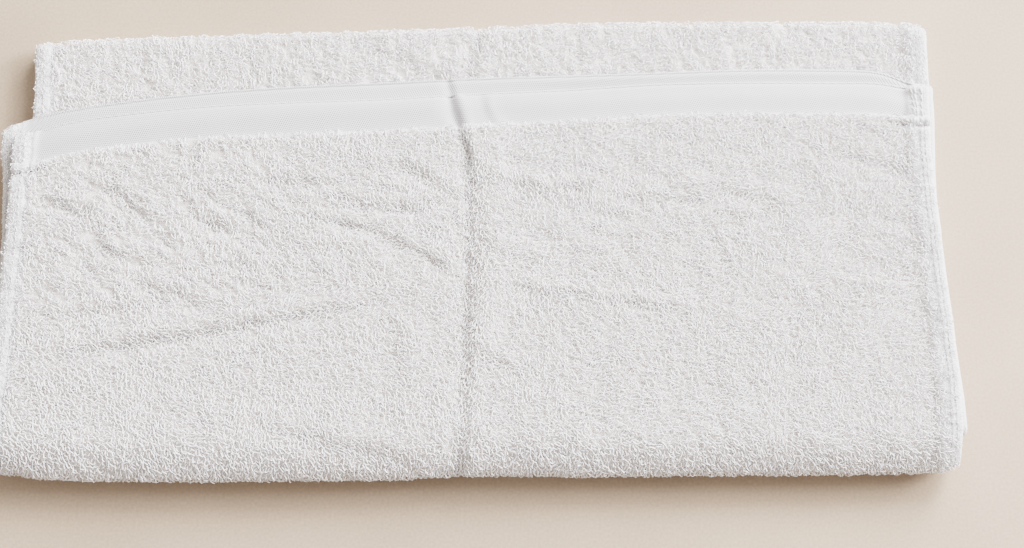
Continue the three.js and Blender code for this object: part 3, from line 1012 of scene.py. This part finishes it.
def growthTree(loops, values, seed):
    tree = bpy.data.node_groups.new("growth", "GeometryNodeTree")
    tree.interface.new_socket("Geometry", in_out="INPUT", socket_type="NodeSocketGeometry")
    tree.interface.new_socket("Geometry", in_out="OUTPUT", socket_type="NodeSocketGeometry")
    ground = put(tree, "NodeGroupInput")

    def attribute(kind, name):
        return put(tree, "GeometryNodeInputNamedAttribute", {"data_type": kind}, {"Name": name})

    cover = attribute("FLOAT", "cover")
    comb = attribute("FLOAT_VECTOR", "comb")
    points = put(
        tree, "GeometryNodeDistributePointsOnFaces", {"distribute_method": "POISSON"},
        {0: ground, "Distance Min": values["spacing"] * mm, "Density Max": values["density"],
         "Density Factor": cover, "Seed": seed},
    )
    out = Wire(tree, points.socket.node.outputs["Normal"])
    facing = put(
        tree, "FunctionNodeAlignRotationToVector", {"axis": "Z"}, {"Vector": out},
    )
    swing = put(
        tree, "FunctionNodeRandomValue", {"data_type": "FLOAT_VECTOR"},
        {0: (-values["jitter"],) * 3, 1: (values["jitter"],) * 3, 8: seed + 1},
    )
    aim = put(tree, "ShaderNodeVectorMath", {"operation": "ADD"}, {0: comb, 1: swing})
    lying = put(
        tree, "FunctionNodeAlignRotationToVector", {"axis": "X", "pivot_axis": "Z"},
        {"Rotation": facing, "Vector": aim},
    )
    kinds = put(
        tree, "GeometryNodeCollectionInfo", None,
        {"Collection": loops, "Separate Children": True, "Reset Children": True},
    )
    smallest = (values["smallest"], values["smallest"], values["lowest"])
    largest = (values["largest"], values["largest"], values["highest"])
    scale = put(
        tree, "FunctionNodeRandomValue", {"data_type": "FLOAT_VECTOR"},
        {0: smallest, 1: largest, 8: seed + 2},
    )
    placed = put(
        tree, "GeometryNodeInstanceOnPoints", None,
        {"Points": points, "Instance": kinds, "Pick Instance": True, "Rotation": lying, "Scale": scale},
    )
    tint = put(
        tree, "FunctionNodeRandomValue", {"data_type": "FLOAT"}, {8: seed + 3}, 1,
    )
    tinted = put(
        tree, "GeometryNodeStoreNamedAttribute", {"data_type": "FLOAT", "domain": "INSTANCE"},
        {"Geometry": placed, "Name": "tint", "Value": tint},
    )
    real = put(tree, "GeometryNodeRealizeInstances", None, {0: tinted})
    place = put(tree, "GeometryNodeInputPosition")
    tousle = put(
        tree, "ShaderNodeTexNoise", {"noise_dimensions": "3D"},
        {"Vector": place, "Scale": 1000 / values["tousleSize"], "Detail": 0.0}, 1,
    )
    centred = put(
        tree, "ShaderNodeVectorMath", {"operation": "SUBTRACT"}, {0: tousle, 1: (0.5, 0.5, 0.5)},
    )
    reach = values["tousle"] * 2 * mm
    shift = put(
        tree, "ShaderNodeVectorMath", {"operation": "MULTIPLY"},
        {0: centred, 1: (reach, reach, reach * 0.6)},
    )
    bent = put(tree, "ShaderNodeVectorMath", {"operation": "ADD"}, {0: place, 1: shift})
    aboveTable = (-1, -1, 0.1 * mm)
    resting = put(
        tree, "ShaderNodeVectorMath", {"operation": "MAXIMUM"}, {0: bent, 1: aboveTable},
    )
    bent = put(tree, "GeometryNodeSetPosition", None, {"Geometry": real, "Position": resting})
    own = attribute("FLOAT_VECTOR", "OFBake")
    ownTint = attribute("FLOAT", "tint")
    parts = put(tree, "ShaderNodeSeparateXYZ", None, {0: own})
    across = ownTint * 0.9 + parts * 0.1
    sewn = put(tree, "ShaderNodeCombineXYZ", None, {0: across, 1: other(parts, "Y")})
    mapped = put(
        tree, "GeometryNodeStoreNamedAttribute", {"data_type": "FLOAT2", "domain": "CORNER"},
        {"Geometry": bent, "Name": "OFBake", "Value": sewn},
    )
    put(tree, "NodeGroupOutput", None, {0: mapped})
    return tree


def paintLoops(values):
    # painted shade along each loop from its middle to its ends, and a random tone loop by loop
    material, tree = newMaterial("terryLoops")
    mapped = put(tree, "ShaderNodeUVMap", {"uv_map": "OFBake"})
    tint = put(tree, "ShaderNodeSeparateXYZ", None, {0: mapped})
    # painted shade towards both ends of each loop, where it goes into the ground
    root = ease(abs(other(tint, "Y") - 0.5) * 2, *values["rootShadeFrom"])
    shade = blendColour(tree, root, values["tipTone"], values["rootShadeTone"])
    tinted = blendColour(tree, tint, values["dullest"], (1, 1, 1, 1))
    shade = blendColour(tree, 1.0, shade, tinted, "MULTIPLY")
    surface = put(
        tree, "ShaderNodeBsdfPrincipled", None,
        {"Base Color": shade, "Roughness": values["roughness"], "Sheen Weight": values["sheen"],
         "Sheen Roughness": 0.4},
    )
    put(tree, "ShaderNodeOutputMaterial", None, {"Surface": surface})
    return material


pileMaterial = paintLoops(pile)
loops = bpy.data.collections.new("loops")
for name, line in loopLines.items():
    loops.objects.link(makeLoop(name, line, pile["girth"], pile["height"], pile["flatness"]))

pileGround = ground(pilePlan)
pileFace = shownFace(pileGround)
combed = combAngle(pileGround)
wide, inset, fromEnd = pileGround["across"], pileGround["inset"], pileGround["fromEnd"]
turned = pileGround["turned"]


def growPile(name, chosen, cover, values, seed):
    piece = addPiece(name, makeGround(pileGround, pileFace, chosen, cover, combed))
    growth = piece.modifiers.new("growth", "NODES")
    growth.node_group = growthTree(loops, values, seed)
    settle(piece)
    piece.data.materials.clear()
    piece.data.materials.append(pileMaterial)
    for extra in ("comb", "cover", "tint"):
        if extra in piece.data.attributes:
            piece.data.attributes.remove(piece.data.attributes[extra])
    bpy.data.node_groups.remove(bpy.data.node_groups["growth"])
    print(name, triangles(piece), "triangles")
    return piece


def partedShare(values):
    thin = streaks(pileGround["x"], pileGround["y"], values["turn"], values["size"], values["seed"])
    return smooth((thin - values["start"]) * values["steep"])


# how far in and from the end the loops start, and over what width they thicken
pileEdge = {"left": 8.4, "right": 7.4, "width": 1.4, "end": 19.5, "endWidth": 2.5}

onTop = (pileGround["outerTop"] > 0) & (turned < 0.88)
left, right = wide < 0, wide > 0
bareHem = np.where(left, pileEdge["left"], pileEdge["right"])
bareHem = smooth((inset - bareHem) / pileEdge["width"])
coverTop = smooth((fromEnd - pileEdge["end"]) / pileEdge["endWidth"]) * bareHem
start, reach = parting["leftOver"]
low, rise = parting["above"]
parted = smooth(start - pileGround["x"] / reach) * smooth((pileGround["y"] - low) / rise)
parted = parting["least"] + (1 - parting["least"]) * parted
coverTop *= 1 - parting["top"]["most"] * parted * partedShare(parting["top"])
piles = []
for name, start, end, seed in topPatches:
    start, end = (wide[0, np.argmin(np.abs(wide[0] - place))] for place in (start, end))
    chosen = onTop & (fromEnd > 17) & (wide >= start) & (wide <= end)
    piles.append(growPile(name, chosen, coverTop, pile, seed))
onBack = (pileGround["innerBottom"] > 0) & (pileGround["y"] > foldLine(wide, innerEnd) - 4)
coverBack = bareHem * (1 - parting["back"]["most"] * partedShare(parting["back"]))
piles.append(growPile("pileBack", onBack, coverBack, pile, 15))

# name, which rows, which side, from and to inset, seed
onUnder = (pileGround["innerTop"] > 0) & (pileGround["y"] > -20)
hemPatches = [
    ("hemLoopsLeft", onTop & (turned < 0.6), left, 0.7, 9.6, 21),
    ("hemLoopsRight", onTop & (turned < 0.6) & (fromEnd > 22), right, 0.7, 7.8, 22),
    ("hemLoopsUnder", onUnder, left, 0.7, 10, 23),
    ("hemLoopsBackLeft", onBack, left, 0.7, 9.6, 24),
    ("hemLoopsBackRight", onBack, right, 0.7, 8.6, 25),
]
edge = hemPile["edge"]
for name, rows, side, low, high, seed in hemPatches:
    hemCover = smooth((inset - low) / edge) * smooth((high - inset) / edge) * (fromEnd > 1)
    # on the right the loops stand mostly along the middle of the hem
    hemCover *= np.where(left, 1, 0.3 + 0.7 * smooth((3 - np.abs(inset - 6)) / 2))
    chosen = rows & side & (inset <= high + 1)
    piles.append(growPile(name, chosen, hemCover, hemPile, seed))


# Sewing along the hems and across the corner tabs

sewing = {
    "line": [(-1.5, 0, -0.5), (-1.0, 0, 0.3), (0, 0, 0.45), (1.0, 0, 0.3), (1.5, 0, -0.5)],
    "girth": 0.3,
}

# layer, side, inset, from and to along, pitch, length, slant
hemRows = [
    ("outerTop", 1, 5.9, 26, 400, 4.0, 1.0, 0.14),
    ("outerTop", 1, 3.4, 26, 400, 4.0, 1.0, -0.1),
    ("outerTop", 1, 9.4, 1.5, 21, 4.4, 1.5, 0.3),
    ("outerTop", 1, 7.1, 0.5, 20, 4.8, 1.6, 0.2),
    ("outerTop", 1, 4.8, 2, 20, 4.4, 1.5, 0.3),
    ("outerTop", -1, 7.6, 2, 20, 3.0, 1.0, -0.3),
    ("outerTop", -1, 4.6, 1, 20, 3.0, 1.0, -0.4),
    ("outerTop", -1, 6.4, 27, 400, 4.6, 0.9, 0.3),
    ("innerBottom", 1, 6.6, 0, 400, 4.0, 1.0, 0.12),
    ("innerBottom", 1, 3.8, 1, 400, 4.0, 1.0, -0.12),
    ("innerBottom", -1, 5.9, 0, 400, 4.6, 0.9, 0.3),
]


def sew(name, rows, values):
    stitch = makeLoop("stitch", values["line"], values["girth"], 1, 1).data
    count = len(stitch.vertices)
    thread = bmesh.new()
    for layer, side, place, start, end, pitch, length, slant in rows:
        column = np.argmin(np.abs(wide[0] - side * (halfWidth - place)))
        used = onTop if layer == "outerTop" else onBack
        used = np.flatnonzero(used[:, column] & (turned[:, column] < 0.6))
        line = pileFace[used, column]
        run = np.concatenate([[0], np.cumsum(np.linalg.norm(np.diff(line, axis=0), axis=1))])
        for at in np.arange(start + pitch / 2, min(end, run[-1]), pitch):
            spot, out, ahead, aside = (
                Vector([np.interp(at, run, part[used, column, axis]) for axis in range(3)])
                for part in (pileFace, pileGround["normal"], pileGround["along"],
                             pileGround["sideways"])
            )
            way = (ahead * math.cos(slant) + aside * math.sin(slant)).normalized() * length
            axes = (way, out.cross(way).normalized(), out.normalized())
            seat = Matrix(axes).transposed().to_4x4()
            seat.translation = Vector(moved(np.array(spot)))
            thread.from_mesh(stitch)
            thread.verts.ensure_lookup_table()
            bmesh.ops.transform(thread, matrix=seat, verts=thread.verts[-count:])
    piece = addPiece(name, addMesh(name, thread))
    piece.data.materials.append(pileMaterial)
    print(name, triangles(piece), "triangles")
    return piece


piles.append(sew("hemStitches", hemRows, sewing))


# The table

table = {
    "size": 6.0,
    "tint": (0.54, 0.432, 0.345),
    "mottle": 0.28,
    "mottleScale": 9.0,
    "grain": 0.3,
    "grainScale": 700.0,
    "roughness": 0.7,
}


def addTable(values):
    top = bmesh.new()
    bmesh.ops.create_grid(top, x_segments=1, y_segments=1, size=values["size"] / 2)
    piece = addPiece("tableTop", addMesh("tableTop", top))
    material, tree = newMaterial("palePaint")
    place = put(tree, "ShaderNodeTexCoord", None, None, "Object")
    cloudy = put(tree, "ShaderNodeTexNoise", None, {
        "Vector": place, "Scale": values["mottleScale"], "Detail": 3.0,
    })
    grain = put(tree, "ShaderNodeTexNoise", None, {
        "Vector": place, "Scale": values["grainScale"], "Detail": 1.0,
    })
    shade = 1 + (cloudy - 0.5) * values["mottle"] + (grain - 0.5) * values["grain"]
    shade = put(tree, "ShaderNodeCombineXYZ", None, {0: shade, 1: shade, 2: shade})
    tone = blendColour(tree, 1.0, (*values["tint"], 1), shade, "MULTIPLY")
    surface = put(tree, "ShaderNodeBsdfPrincipled", None, {
        "Base Color": tone, "Roughness": values["roughness"],
    })
    put(tree, "ShaderNodeOutputMaterial", None, {"Surface": surface})
    piece.data.materials.append(material)
    return piece


floor = addTable(table)

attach(cloth, "root")
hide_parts("towel")
for piece in piles:
    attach(piece, "root")
